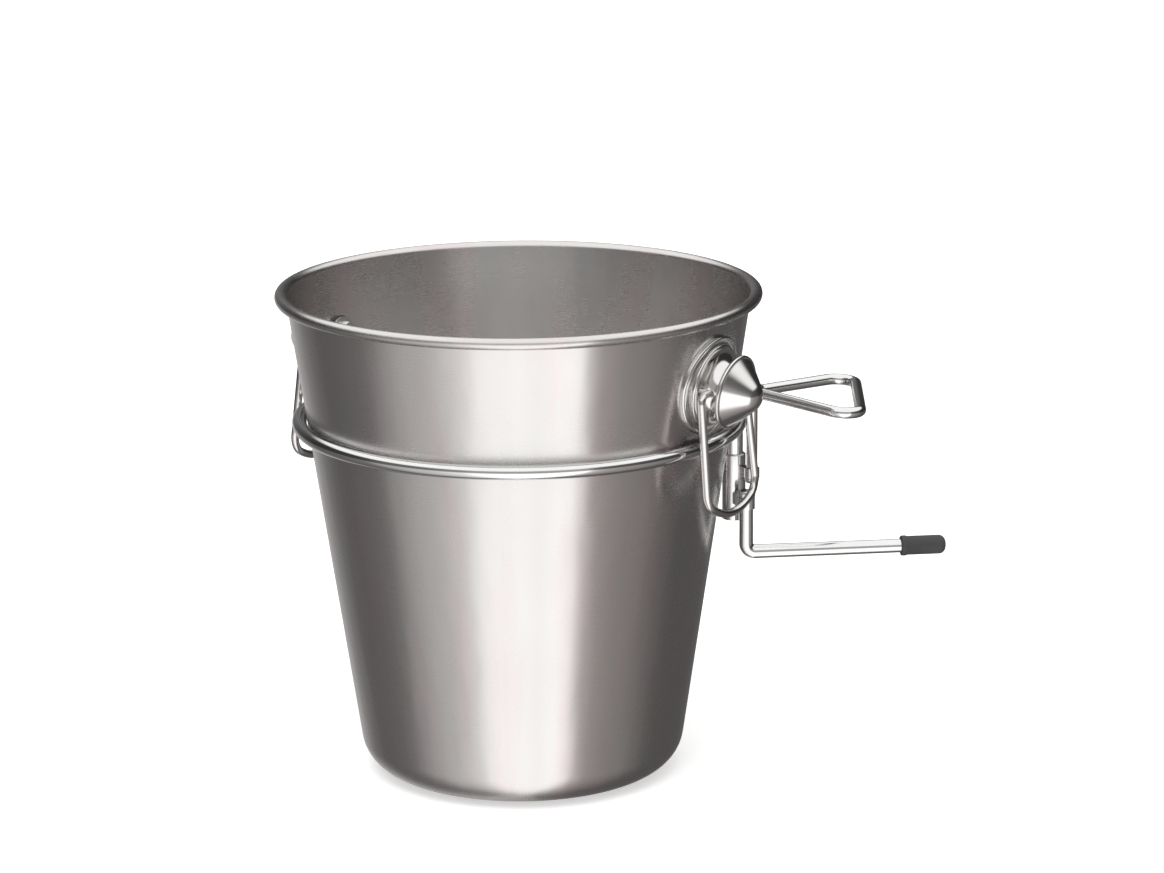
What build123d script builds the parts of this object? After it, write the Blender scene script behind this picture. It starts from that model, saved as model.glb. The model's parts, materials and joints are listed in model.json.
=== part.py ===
from build123d import *
from math import asin, atan2, cos, degrees, hypot, pi, radians, sin, sqrt
import os

# Champagne bucket in a wire ring bracket that hooks over the edge of a table.
# Millimetres, +Z up. The origin is the centre of the bucket's underside, and +X points
# from the bucket towards the table, along the bracket's lower arm.

os.makedirs("parts", exist_ok=True)

# ---------------------------------------------------------------- driving dimensions

# bucket: a drawn steel cup with a rolled rim
rim_height = 211.4          # middle of the rolled rim above the underside
rim_outer_radius = 105.0
bead_radius = 2.45          # section of the rolled rim
wall_top_radius = 100.2     # outside of the wall at the rolled rim
wall_foot_radius = 68.7     # where the wall's line meets the underside
sheet = 0.8
foot_bend = 17.0            # outside radius between the wall and the underside
rim_inner_round = 1.6       # where the sheet starts to turn over into the rolled rim

# lugs: one on each side of the bucket, square to its tapered wall
lug_azimuths = (-39.0, 141.0)
lug_height = 181.9
flange_radius = 21.5        # thin flange that follows the wall
flange_thickness = 1.3
step_radius = 18.0          # raised flat inside the flange
step_height = 2.6           # above the wall at the lug's centre
step_edge = 0.8
boss_base_radius = 16.9
boss_foot = 0.8
boss_neck_radius = 10.6
boss_curve = 1.75           # how far the waist's hollow stays out of its corner
boss_collar = 2.0           # straight length of the neck, under the cap
boss_length = 8.3
cap_radius = 16.0
cap_edge = 1.2              # rounding round the cap's foot
cap_shoulder = 2.3          # height of the lip round the foot, below the cone
cap_taper = 1.3             # width of the lip
cap_ball = 8.2              # rounding at the tip of the cone
cap_ball_height = 5.2       # centre of that rounding above the cap's foot
screw_radius = 3.0
screw_clearance = 0.1
screw_engagement = 7.0      # thread inside the cap
screw_end_gap = 0.5         # the cap's bore goes this much deeper than the screw
screw_head_radius = 6.0
screw_head_height = 3.0
screw_head_round = 1.8
screw_socket_across_flats = 4.0
screw_socket_depth = 1.8
washer_radius = 8.0
washer_thickness = 1.2
seal_radius = 8.5
seal_thickness = 1.5
fit_gap = 0.05              # between a bolted piece and the curved wall, and round the screw in the cap

# bails: the drop rings that hang from the lugs
bail_wire_radius = 1.75
bail_half_width = 18.2      # from the lug's axis to a leg's centre line, at the pivot
bail_foot_half_width = 20.4 # at the two lower corners
bail_corner_drop = 47.5     # from the pivot to the lower corners
bail_foot_drop = 57.0       # from the pivot to where the two lower runs meet
bail_corner_bend = 9.0
bail_foot_bend = 30.0
bail_sway = 3.0             # the lower corners hang this much to one side
bail_lean = 3.4             # the bails stand out from plumb by this many degrees
bail_bend = 3.2             # bend from a leg into its hooked end
bail_hook_inset = 6.5       # where a hooked end stops, from the lug's axis
bail_running_gap = 0.05
bail_end_gap = 0.4          # between a hooked end and the end of its socket
pivot_height = 6.0          # pivot axis in front of the wall

# bracket: the ring that carries the bucket, and its post
ring_height = 155.9
ring_wire_radius = 3.2
ring_gap = 0.3              # between the ring and the tapered wall
post_x = 95.55
post_y = 9.3
post_radius = 4.0
post_top_below_ring = 2.0
tube_radius = 5.2
tube_bore_gap = 0.1
tube_top = 134.3
tube_bottom = 104.6
tube_edge = 0.4
post_end_in_tube = 6.0      # the post stops this far above the tube's lower end

# bracket: the triangular loop that lies on the table and turns on its stem
arm_x = 102.45              # the loop's upright stem
arm_y = 2.5
arm_wire_radius = 2.5
arm_height = 163.4
arm_reach = 46.3            # from the stem to the crossbar
arm_half_width = 41.0
arm_drop = 2.3              # the crossbar sits this much lower than the stem's top
arm_turn = -8.5             # direction of the loop, in degrees from +X
arm_corner = 7.5
arm_stem_bend = 3.2
arm_joint_radius = 3.6      # brazed lump where the loop closes on the stem
arm_joint_offset = 2.4      # the lump's centre, from the stem along the returning leg
arm_end_gap = 5.5           # the returning leg stops this far from the stem
sleeve_radius = 3.4
sleeve_bottom = 124.6
sleeve_top = 129.0
sleeve_running_gap = 0.05
sleeve_web = 4.0
rivet_radius = 3.2          # the stem's end is spread under the sleeve
rivet_height = 2.0
rivet_gap = 0.3
rivet_round = 1.4

# bracket: the lower arm, which slides up in its guide
lower_x = 98.9
lower_y = -4.5
lower_wire_radius = 3.1
lower_height = 92.8
lower_top = 120.6
lower_reach = 186.0
lower_bend = 3.8
lower_top_edge = 0.6
guide_radius = 3.8
guide_running_gap = 0.05
guide_bottom = 112.6
guide_top = 117.6
guide_web = 5.0
stop_radius = 4.0
stop_thickness = 2.6
stop_edge = 0.5
stop_gap = 0.05             # between the stop and the top of the guide
tip_radius = 4.5
tip_start = 168.0
tip_end = 188.0
tip_round = 3.0             # at the tip's closed end
tip_edge = 0.5              # at its open end

# ---------------------------------------------------------------- shared geometry

wall_slope = (wall_top_radius - wall_foot_radius) / rim_height
wall_stretch = hypot(1.0, wall_slope)    # horizontal width of a unit of wall thickness
bucket_top = rim_height + bead_radius


def wall_radius(height):
    """Outside radius of the tapered wall at a height above the underside."""
    return wall_foot_radius + wall_slope * height


boss_front = step_height + boss_length
seal_back = -sheet - seal_thickness
washer_back = seal_back - washer_thickness
ring_radius = wall_radius(ring_height) + (ring_wire_radius + ring_gap) * wall_stretch


def lug_plane(azimuth, height=0.0):
    """Plane across a lug's axis: X along the wall, Z square to it, at a height above the wall."""
    outward = Vector(cos(radians(azimuth)), sin(radians(azimuth)), 0)
    along_wall = Vector(-outward.Y, outward.X, 0)
    square = (outward - Vector(0, 0, wall_slope)).normalized()
    wall_point = outward * wall_radius(lug_height) + Vector(0, 0, lug_height)
    return Plane(origin=wall_point + square * height, x_dir=along_wall, z_dir=square)


def lug_section(azimuth):
    """Plane through a lug's axis: X along the wall, Y along the axis."""
    face = lug_plane(azimuth)
    return Plane(origin=face.origin, x_dir=face.x_dir, z_dir=-face.y_dir)


def bail_plane(azimuth):
    """Plane of a bail: its origin is the middle of the pivot, X runs along the pivot and Y up."""
    pivot = lug_plane(azimuth, pivot_height)
    outward = Vector(cos(radians(azimuth)), sin(radians(azimuth)), 0)
    across = outward * cos(radians(bail_lean)) + Vector(0, 0, sin(radians(bail_lean)))
    return Plane(origin=pivot.origin, x_dir=pivot.x_dir, z_dir=across)


def touch_point(start, centre, radius, side):
    """Where a straight line from start touches a circle, on its right (-1) or left (1)."""
    run = centre[0] - start[0]
    rise = centre[1] - start[1]
    distance = hypot(run, rise)
    direction = atan2(rise, run) + side * asin(radius / distance)
    length = sqrt(distance**2 - radius**2)
    return (start[0] + length * cos(direction), start[1] + length * sin(direction))


def wall_cone(offset):
    """The bucket's outer cone as a solid, moved outwards square to the wall."""
    step = offset * wall_stretch
    return Cone(
        wall_foot_radius + step,
        wall_radius(bucket_top) + step,
        bucket_top,
        align=(Align.CENTER, Align.CENTER, Align.MIN),
        mode=Mode.PRIVATE,
    )


def save(piece, name):
    """Label a finished piece and write its STEP file."""
    piece.part.label = name
    export_step(piece.part, f"parts/{name}.step")


# ---------------------------------------------------------------- bucket

with BuildPart() as bucket_shell:
    with BuildSketch(Plane.XZ):
        with BuildLine():
            Polyline(
                (0, 0),
                (wall_foot_radius, 0),
                (wall_radius(bucket_top), bucket_top),
                (0, bucket_top),
                close=True,
            )
        outside = make_face()
        fillet(outside.vertices().sort_by(Axis.Z).sort_by(Axis.X)[2], foot_bend)
    revolve(axis=Axis.Z)
    with BuildSketch(Plane.XZ) as cavity:
        cavity_foot = wall_radius(sheet) - sheet * wall_stretch
        cavity_top = bucket_top + sheet
        cavity_top_radius = wall_radius(cavity_top) - sheet * wall_stretch
        with BuildLine():
            Polyline(
                (0, sheet),
                (cavity_foot, sheet),
                (cavity_top_radius, cavity_top),
                (0, cavity_top),
                close=True,
            )
        inside = make_face()
        fillet(inside.vertices().sort_by(Axis.Z).sort_by(Axis.X)[2], foot_bend - sheet)
    revolve(axis=Axis.Z, mode=Mode.SUBTRACT)
    # the rim: the sheet turns outwards over the top and is rolled into a bead
    with BuildSketch(Plane.XZ):
        bead_centre = rim_outer_radius - bead_radius
        with Locations((bead_centre, rim_height)):
            Circle(bead_radius)
        with BuildLine():
            turn_inner = wall_radius(rim_height) - sheet * wall_stretch
            Polyline(
                (turn_inner, rim_height),
                (turn_inner, bucket_top),
                (bead_centre, bucket_top),
                (bead_centre, rim_height),
                close=True,
            )
        make_face()
    revolve(axis=Axis.Z)
    top_edges = bucket_shell.edges().filter_by(GeomType.CIRCLE).group_by(Axis.Z)[-1]
    fillet(top_edges.sort_by(SortBy.LENGTH)[0], rim_inner_round)
    for azimuth in lug_azimuths:
        with BuildSketch(lug_plane(azimuth, seal_back)):
            Circle(screw_radius + screw_clearance)
        extrude(amount=-2 * seal_back, mode=Mode.SUBTRACT)
save(bucket_shell, "bucket_shell")

# ---------------------------------------------------------------- lugs and bails

for number, azimuth in enumerate(lug_azimuths, start=1):
    section = lug_section(azimuth)
    face = lug_plane(azimuth)
    axis = Axis(face.origin, face.z_dir)
    bore = screw_radius + screw_clearance

    with BuildPart() as lug_plate:
        with BuildSketch(lug_plane(azimuth, -flange_radius / 2)):
            Circle(flange_radius)
        extrude(amount=flange_radius)
        add(wall_cone(fit_gap + flange_thickness), mode=Mode.INTERSECT)
        with BuildSketch(lug_plane(azimuth, -step_height)):
            Circle(step_radius)
        extrude(amount=2 * step_height)
        fillet(lug_plate.faces().sort_by(axis)[-1].edges(), step_edge)
        add(wall_cone(fit_gap), mode=Mode.SUBTRACT)
        with BuildSketch(lug_plane(azimuth, -step_height)):
            Circle(bore)
        extrude(amount=2 * step_height, mode=Mode.SUBTRACT)
    save(lug_plate, f"lug_plate_{number}")

    with BuildPart() as lug_boss:
        with BuildSketch(section):
            with BuildLine():
                foot = step_height + boss_foot
                neck = boss_front - boss_collar
                middle = (boss_neck_radius + boss_curve, foot + boss_curve)
                Polyline((bore, step_height), (boss_base_radius, step_height), (boss_base_radius, foot))
                ThreePointArc((boss_base_radius, foot), middle, (boss_neck_radius, neck))
                Polyline((boss_neck_radius, neck), (boss_neck_radius, boss_front), (bore, boss_front))
                Line((bore, boss_front), (bore, step_height))
            make_face()
        revolve(axis=axis)
        # sockets for the bail's hooked ends, one from each side
        pivot = lug_plane(azimuth, pivot_height)
        for side in (-1, 1):
            socket_start = pivot.origin + pivot.x_dir * side * (bail_hook_inset - bail_end_gap)
            with BuildSketch(Plane(origin=socket_start, z_dir=pivot.x_dir * side)):
                Circle(bail_wire_radius + bail_running_gap)
            extrude(amount=boss_base_radius, mode=Mode.SUBTRACT)
    save(lug_boss, f"lug_boss_{number}")

    with BuildPart() as lug_cap:
        cap_bore = screw_radius + fit_gap
        bore_end = boss_front + screw_engagement + screw_end_gap
        cone_start = (cap_radius - cap_taper, boss_front + cap_shoulder)
        ball_centre = boss_front + cap_ball_height
        ball_start = touch_point(cone_start, (0, ball_centre), cap_ball, -1)
        half_way = (atan2(ball_start[1] - ball_centre, ball_start[0]) + pi / 2) / 2
        ball_middle = (cap_ball * cos(half_way), ball_centre + cap_ball * sin(half_way))
        tip = (0, ball_centre + cap_ball)
        with BuildSketch(section):
            with BuildLine():
                Line((cap_bore, boss_front), (cap_radius - cap_edge, boss_front))
                RadiusArc((cap_radius - cap_edge, boss_front), (cap_radius, boss_front + cap_edge), -cap_edge)
                Polyline((cap_radius, boss_front + cap_edge), cone_start, ball_start)
                ThreePointArc(ball_start, ball_middle, tip)
                Polyline(tip, (0, bore_end), (cap_bore, bore_end), (cap_bore, boss_front))
            make_face()
        revolve(axis=axis)
    save(lug_cap, f"lug_cap_{number}")

    with BuildPart() as lug_screw:
        with BuildSketch(lug_plane(azimuth, washer_back)):
            Circle(screw_radius)
        extrude(amount=boss_front + screw_engagement - washer_back)
        with BuildSketch(lug_plane(azimuth, washer_back)):
            Circle(screw_head_radius)
        extrude(amount=-screw_head_height)
        head_face = lug_screw.faces().sort_by(axis)[0]
        fillet(head_face.edges(), screw_head_round)
        with BuildSketch(lug_plane(azimuth, washer_back - screw_head_height)):
            RegularPolygon(screw_socket_across_flats / 2, 6, major_radius=False)
        extrude(amount=screw_socket_depth, mode=Mode.SUBTRACT)
    save(lug_screw, f"lug_screw_{number}")

    with BuildPart() as lug_washer:
        with BuildSketch(lug_plane(azimuth, washer_back)):
            Circle(washer_radius)
            Circle(bore, mode=Mode.SUBTRACT)
        extrude(amount=washer_thickness)
    save(lug_washer, f"lug_washer_{number}")

    with BuildPart() as lug_seal:
        with BuildSketch(lug_plane(azimuth, seal_back)):
            Circle(seal_radius)
            Circle(bore, mode=Mode.SUBTRACT)
        extrude(amount=seal_thickness * 2)
        add(wall_cone(-sheet - fit_gap), mode=Mode.INTERSECT)
    save(lug_seal, f"lug_seal_{number}")

    with BuildPart() as bail:
        left_corner = (bail_sway - bail_foot_half_width, -bail_corner_drop)
        right_corner = (bail_sway + bail_foot_half_width, -bail_corner_drop)
        with BuildLine(bail_plane(azimuth)) as bail_path:
            FilletPolyline(
                (-bail_hook_inset, 0),
                (-bail_half_width, 0),
                left_corner,
                (bail_sway, -bail_foot_drop),
                right_corner,
                (bail_half_width, 0),
                (bail_hook_inset, 0),
                radius=(bail_bend, bail_corner_bend, bail_foot_bend, bail_corner_bend, bail_bend),
            )
        with BuildSketch(Plane(origin=bail_path.line @ 0, z_dir=bail_path.line % 0)):
            Circle(bail_wire_radius)
        sweep(path=bail_path.line)
    save(bail, f"bail_{number}")

# ---------------------------------------------------------------- bracket: ring, post and tube

with BuildPart() as support_ring:
    with BuildSketch(Plane.XZ):
        with Locations((ring_radius, ring_height)):
            Circle(ring_wire_radius)
    revolve(axis=Axis.Z)
save(support_ring, "support_ring")

with BuildPart() as ring_post:
    post_bottom = tube_bottom + post_end_in_tube
    with BuildSketch(Plane.XY.offset(post_bottom)):
        with Locations((post_x, post_y)):
            Circle(post_radius)
    extrude(amount=ring_height - post_top_below_ring - post_bottom)
    # coped to sit against the underside of the ring
    with Locations((0, 0, ring_height)):
        Torus(ring_radius, ring_wire_radius, mode=Mode.SUBTRACT)
save(ring_post, "ring_post")

with BuildPart() as spine_tube:
    with BuildSketch(Plane.XY.offset(tube_bottom)):
        with Locations((post_x, post_y)):
            Circle(tube_radius)
            Circle(post_radius + tube_bore_gap, mode=Mode.SUBTRACT)
    extrude(amount=tube_top - tube_bottom)
    fillet(spine_tube.edges().filter_by(GeomType.CIRCLE).sort_by(SortBy.LENGTH)[-2:], tube_edge)
save(spine_tube, "spine_tube")

# ---------------------------------------------------------------- bracket: turning upper arm

def side_block(centre_x, centre_y, block_radius, bore_radius, web, bottom, top):
    """A block with an upright bore, joined by a web to the side of the tube."""
    with BuildPart() as block:
        with BuildSketch(Plane.XY.offset(bottom)):
            with Locations((centre_x, centre_y)):
                Circle(block_radius)
            reach = Vector(post_x - centre_x, post_y - centre_y, 0)
            turn = degrees(atan2(reach.Y, reach.X))
            web_middle = (centre_x + reach.X / 2, centre_y + reach.Y / 2, 0)
            with Locations(Location(web_middle, (0, 0, turn))):
                Rectangle(reach.length, web)
            with Locations((post_x, post_y)):
                Circle(tube_radius, mode=Mode.SUBTRACT)
            with Locations((centre_x, centre_y)):
                Circle(bore_radius, mode=Mode.SUBTRACT)
        extrude(amount=top - bottom)
    return block


arm_sleeve = side_block(
    arm_x, arm_y, sleeve_radius, arm_wire_radius + sleeve_running_gap, sleeve_web, sleeve_bottom, sleeve_top
)
save(arm_sleeve, "arm_sleeve")

with BuildPart() as upper_arm:
    along = Vector(cos(radians(arm_turn)), sin(radians(arm_turn)), 0)
    across = Vector(-along.Y, along.X, 0)
    rivet_top = sleeve_bottom - rivet_gap
    stem_foot = Vector(arm_x, arm_y, rivet_top - rivet_height)
    stem_top = Vector(arm_x, arm_y, arm_height)
    bar_middle = stem_top + along * arm_reach - Vector(0, 0, arm_drop)
    rear_corner = bar_middle + across * arm_half_width
    front_corner = bar_middle - across * arm_half_width
    return_way = (rear_corner - stem_top).normalized()
    return_end = stem_top + return_way * arm_end_gap
    with BuildLine() as arm_path:
        FilletPolyline(
            stem_foot,
            stem_top,
            front_corner,
            rear_corner,
            return_end,
            radius=(arm_stem_bend, arm_corner, arm_corner),
        )
    with BuildSketch(Plane(origin=arm_path.line @ 0, z_dir=arm_path.line % 0)):
        Circle(arm_wire_radius)
    sweep(path=arm_path.line)
    with Locations(stem_top + return_way * arm_joint_offset):
        Sphere(arm_joint_radius)
    with BuildSketch(Plane.XY.offset(stem_foot.Z)):
        with Locations((arm_x, arm_y)):
            Circle(rivet_radius)
    extrude(amount=rivet_height)
    fillet(upper_arm.faces().sort_by(Axis.Z)[0].edges(), rivet_round)
save(upper_arm, "upper_arm")

# ---------------------------------------------------------------- bracket: sliding lower arm

arm_guide = side_block(
    lower_x, lower_y, guide_radius, lower_wire_radius + guide_running_gap, guide_web, guide_bottom, guide_top
)
save(arm_guide, "arm_guide")

with BuildPart() as lower_arm:
    with BuildLine() as lower_path:
        FilletPolyline(
            (lower_x, lower_y, lower_top),
            (lower_x, lower_y, lower_height),
            (lower_reach, lower_y, lower_height),
            radius=lower_bend,
        )
    with BuildSketch(Plane(origin=lower_path.line @ 0, z_dir=lower_path.line % 0)):
        Circle(lower_wire_radius)
    sweep(path=lower_path.line)
    chamfer(lower_arm.faces().sort_by(Axis.Z)[-1].edges(), lower_top_edge)
save(lower_arm, "lower_arm")

with BuildPart() as arm_stop:
    with BuildSketch(Plane.XY.offset(guide_top + stop_gap)):
        with Locations((lower_x, lower_y)):
            Circle(stop_radius)
            Circle(lower_wire_radius, mode=Mode.SUBTRACT)
    extrude(amount=stop_thickness)
    fillet(arm_stop.edges().filter_by(GeomType.CIRCLE).sort_by(SortBy.LENGTH)[-2:], stop_edge)
save(arm_stop, "arm_stop")

with BuildPart() as arm_tip:
    with BuildSketch(Plane.YZ.offset(tip_start)):
        with Locations((lower_y, lower_height)):
            Circle(tip_radius)
    extrude(amount=tip_end - tip_start)
    fillet(arm_tip.edges().filter_by(GeomType.CIRCLE).sort_by(Axis.X)[-1], tip_round)
    fillet(arm_tip.edges().filter_by(GeomType.CIRCLE).sort_by(Axis.X)[0], tip_edge)
    with BuildSketch(Plane.YZ.offset(tip_start)):
        with Locations((lower_y, lower_height)):
            Circle(lower_wire_radius)
    extrude(amount=lower_reach - tip_start, mode=Mode.SUBTRACT)
save(arm_tip, "arm_tip")
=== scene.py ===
import json
from math import asin, atan2, cos, hypot, pi, radians, sin, sqrt

import bpy
from mathutils import Matrix, Vector


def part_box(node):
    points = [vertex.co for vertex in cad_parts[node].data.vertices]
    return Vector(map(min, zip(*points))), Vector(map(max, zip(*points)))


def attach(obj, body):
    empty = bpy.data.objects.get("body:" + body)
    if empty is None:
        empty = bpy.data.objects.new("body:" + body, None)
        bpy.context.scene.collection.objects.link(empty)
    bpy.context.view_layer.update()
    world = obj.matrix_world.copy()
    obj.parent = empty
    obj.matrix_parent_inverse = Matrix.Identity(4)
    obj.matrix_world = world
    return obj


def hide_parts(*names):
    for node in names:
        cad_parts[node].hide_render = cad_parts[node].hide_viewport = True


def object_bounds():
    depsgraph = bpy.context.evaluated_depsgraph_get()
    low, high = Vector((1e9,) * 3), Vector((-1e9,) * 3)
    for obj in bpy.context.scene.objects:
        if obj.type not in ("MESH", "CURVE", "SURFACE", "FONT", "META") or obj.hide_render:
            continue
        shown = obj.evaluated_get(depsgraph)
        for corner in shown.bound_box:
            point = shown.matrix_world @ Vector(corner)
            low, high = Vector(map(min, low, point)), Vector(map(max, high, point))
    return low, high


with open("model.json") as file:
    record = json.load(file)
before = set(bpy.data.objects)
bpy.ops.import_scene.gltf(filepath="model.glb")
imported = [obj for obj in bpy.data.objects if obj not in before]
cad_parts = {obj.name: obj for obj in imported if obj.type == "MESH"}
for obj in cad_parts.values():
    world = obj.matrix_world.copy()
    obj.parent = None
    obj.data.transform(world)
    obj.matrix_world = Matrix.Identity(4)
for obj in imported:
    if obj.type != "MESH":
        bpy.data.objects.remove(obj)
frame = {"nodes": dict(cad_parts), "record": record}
cad_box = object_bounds()

# Everything is in metres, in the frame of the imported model: the origin is the centre of the
# bucket's underside, +Z is up and +X points from the bucket to the table.

MM = 0.001


# ---------------------------------------------------------------- camera

CAMERA_PLACE = Vector((-0.1763, -1.6771, 0.5670))
CAMERA_HEADING = 0.1207     # from +Y towards +X
CAMERA_PITCH = 0.244        # downwards
CAMERA_ROLL = 0.006
CAMERA_LENS = 123.7
CAMERA_SENSOR = 36.0
CAMERA_NEAR = 0.05
CAMERA_FAR = 60.0


def make_camera():
    data = bpy.data.cameras.new("camera")
    data.lens = CAMERA_LENS
    data.sensor_width = CAMERA_SENSOR
    data.clip_start = CAMERA_NEAR
    data.clip_end = CAMERA_FAR
    camera = bpy.data.objects.new("camera", data)
    forward = Vector((
        sin(CAMERA_HEADING) * cos(CAMERA_PITCH),
        cos(CAMERA_HEADING) * cos(CAMERA_PITCH),
        -sin(CAMERA_PITCH),
    ))
    level_right = Vector((cos(CAMERA_HEADING), -sin(CAMERA_HEADING), 0.0))
    level_up = level_right.cross(forward)
    right = level_right * cos(CAMERA_ROLL) - level_up * sin(CAMERA_ROLL)
    up = level_up * cos(CAMERA_ROLL) + level_right * sin(CAMERA_ROLL)
    rotation = Matrix((right, up, -forward)).transposed()
    camera.matrix_world = Matrix.Translation(CAMERA_PLACE) @ rotation.to_4x4()
    bpy.context.scene.collection.objects.link(camera)
    bpy.context.scene.camera = camera


# ---------------------------------------------------------------- studio

# The studio is a ring of soft panels round the object. Each entry is an angle from the camera's
# side of the object, positive to the camera's right, the panel's brightness there, and its warmth.
PANELS = (
    (-180, 0.40, 0.3),
    (-168, 0.62, 0.3),
    (-156, 0.40, 0.3),
    (-140, 0.22, 0.6),
    (-124, 0.12, 0.9),
    (-100, 0.155, 0.7),
    (-84, 0.20, 0.6),
    (-77, 0.38, 0.5),
    (-62, 0.54, 0.5),
    (-54, 0.60, 0.4),
    (-48, 0.62, 0.4),
    (-38, 0.82, 0.4),
    (-30, 0.96, 0.3),
    (-24, 1.32, 0.2),
    (0, 1.42, 0.2),
    (12, 1.34, 0.2),
    (20, 1.46, 0.2),
    (34, 1.46, 0.2),
    (37, 0.60, 0.9),
    (46, 0.42, 1.2),
    (60, 0.31, 1.2),
    (78, 0.25, 1.2),
    (92, 0.165, 1.0),
    (106, 0.105, 0.8),
    (150, 0.10, 0.6),
    (172, 0.16, 0.3),
    (180, 0.40, 0.3),
)
WARM_TINT = (1.0, 0.945, 0.925)
DIM_START = -0.16           # heights here are of a unit vector that points at the studio
DIM_FULL = -0.04
DIM_SHARE = 0.30
CEILING_START = 0.40
CEILING_FULL = 0.56
CEILING_COLOUR = (1.15, 1.15, 1.14, 1.0)
FLOOR_SIZE = 14.0
FLOOR_GAP = 0.0005          # the floor lies this far below the bucket's underside
FLOOR_COLOUR = (0.9, 0.9, 0.9, 1.0)
FLOOR_ROUGHNESS = 0.9
FLOOR_GLOW = 0.42
KEY_STRENGTH = 0.9
KEY_SPREAD = radians(35)
KEY_TURN = (radians(24), radians(-12), 0)
WHITE = (1.0, 1.0, 1.0, 1.0)


def node(tree, kind, **settings):
    """A new shader node, with its settings and its unlinked inputs filled in."""
    made = tree.nodes.new(kind)
    for name, value in settings.items():
        if hasattr(made, name):
            setattr(made, name, value)
        else:
            made.inputs[name].default_value = value
    return made


def math_node(tree, operation, a, b=None, c=None):
    """The output of a Math node whose inputs are numbers or sockets."""
    made = tree.nodes.new("ShaderNodeMath")
    made.operation = operation
    for socket, value in zip(made.inputs, (a, b, c)):
        if value is None:
            continue
        if isinstance(value, (int, float)):
            socket.default_value = value
        else:
            tree.links.new(value, socket)
    return made.outputs[0]


def blend_by_height(tree, height, start, full, below, above):
    """Goes from the colour below to the colour above as the height passes from start to full."""
    share = tree.nodes.new("ShaderNodeMapRange")
    share.interpolation_type = "SMOOTHSTEP"
    share.inputs["From Min"].default_value = start
    share.inputs["From Max"].default_value = full
    tree.links.new(height, share.inputs["Value"])
    mixed = tree.nodes.new("ShaderNodeMix")
    mixed.data_type = "RGBA"
    tree.links.new(share.outputs["Result"], mixed.inputs["Factor"])
    tree.links.new(below, mixed.inputs["A"])
    if isinstance(above, tuple):
        mixed.inputs["B"].default_value = above
    else:
        tree.links.new(above, mixed.inputs["B"])
    return mixed.outputs["Result"]


def make_world():
    world = bpy.data.worlds.new("studio")
    bpy.context.scene.world = world
    world.use_nodes = True
    tree = world.node_tree
    tree.nodes.clear()
    output = tree.nodes.new("ShaderNodeOutputWorld")
    direction = tree.nodes.new("ShaderNodeTexCoord").outputs["Generated"]
    parts = tree.nodes.new("ShaderNodeSeparateXYZ")
    tree.links.new(direction, parts.inputs[0])
    angle = math_node(tree, "ARCTAN2", parts.outputs["Y"], parts.outputs["X"])
    camera_side = atan2(CAMERA_PLACE.y, CAMERA_PLACE.x)
    turn = math_node(tree, "DIVIDE", math_node(tree, "SUBTRACT", angle, camera_side), 2 * pi)
    # half a turn puts the camera's side in the middle of the ramp, and a whole one keeps it positive
    ramp_place = math_node(tree, "FRACT", math_node(tree, "ADD", turn, 1.5))

    ramp = tree.nodes.new("ShaderNodeValToRGB")
    ramp.color_ramp.interpolation = "LINEAR"
    stops = ramp.color_ramp.elements
    while len(stops) > 1:
        stops.remove(stops[-1])
    for index, (degrees_off, brightness, warmth) in enumerate(PANELS):
        position = 0.5 + degrees_off / 360.0
        stop = stops[0] if index == 0 else stops.new(position)
        stop.position = position
        tint = [1.0 + (channel - 1.0) * warmth for channel in WARM_TINT]
        stop.color = (*[brightness * channel for channel in tint], 1.0)
    tree.links.new(ramp_place, ramp.inputs[0])

    # above the panels the studio is dim, and overhead it closes into one soft white ceiling
    height = parts.outputs["Z"]
    dimmed = tree.nodes.new("ShaderNodeVectorMath")
    dimmed.operation = "SCALE"
    dimmed.inputs["Scale"].default_value = DIM_SHARE
    tree.links.new(ramp.outputs["Color"], dimmed.inputs[0])
    dim = blend_by_height(tree, height, DIM_START, DIM_FULL, ramp.outputs["Color"], dimmed.outputs[0])
    lit = blend_by_height(tree, height, CEILING_START, CEILING_FULL, dim, CEILING_COLOUR)

    studio = tree.nodes.new("ShaderNodeBackground")
    tree.links.new(lit, studio.inputs["Color"])
    backdrop = tree.nodes.new("ShaderNodeBackground")
    backdrop.inputs["Color"].default_value = WHITE
    seen = tree.nodes.new("ShaderNodeLightPath").outputs["Is Camera Ray"]
    choose = tree.nodes.new("ShaderNodeMixShader")
    tree.links.new(seen, choose.inputs["Fac"])
    tree.links.new(studio.outputs[0], choose.inputs[1])
    tree.links.new(backdrop.outputs[0], choose.inputs[2])
    tree.links.new(choose.outputs[0], output.inputs["Surface"])


def make_floor():
    half = FLOOR_SIZE / 2
    below = cad_box[0].z - FLOOR_GAP
    corners = [(-half, -half, below), (half, -half, below), (half, half, below), (-half, half, below)]
    mesh = bpy.data.meshes.new("floor")
    mesh.from_pydata(corners, [], [(0, 1, 2, 3)])
    floor = bpy.data.objects.new("floor", mesh)
    bpy.context.scene.collection.objects.link(floor)
    material = bpy.data.materials.new("pale_floor")
    material.use_nodes = True
    shader = material.node_tree.nodes["Principled BSDF"]
    shader.inputs["Base Color"].default_value = FLOOR_COLOUR
    shader.inputs["Roughness"].default_value = FLOOR_ROUGHNESS
    shader.inputs["Emission Color"].default_value = WHITE
    shader.inputs["Emission Strength"].default_value = FLOOR_GLOW
    mesh.materials.append(material)
    floor.visible_glossy = False


def make_key():
    data = bpy.data.lights.new("key", "SUN")
    data.energy = KEY_STRENGTH
    data.angle = KEY_SPREAD
    key = bpy.data.objects.new("key", data)
    key.rotation_euler = KEY_TURN
    key.visible_glossy = False
    bpy.context.scene.collection.objects.link(key)


# ---------------------------------------------------------------- materials

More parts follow.
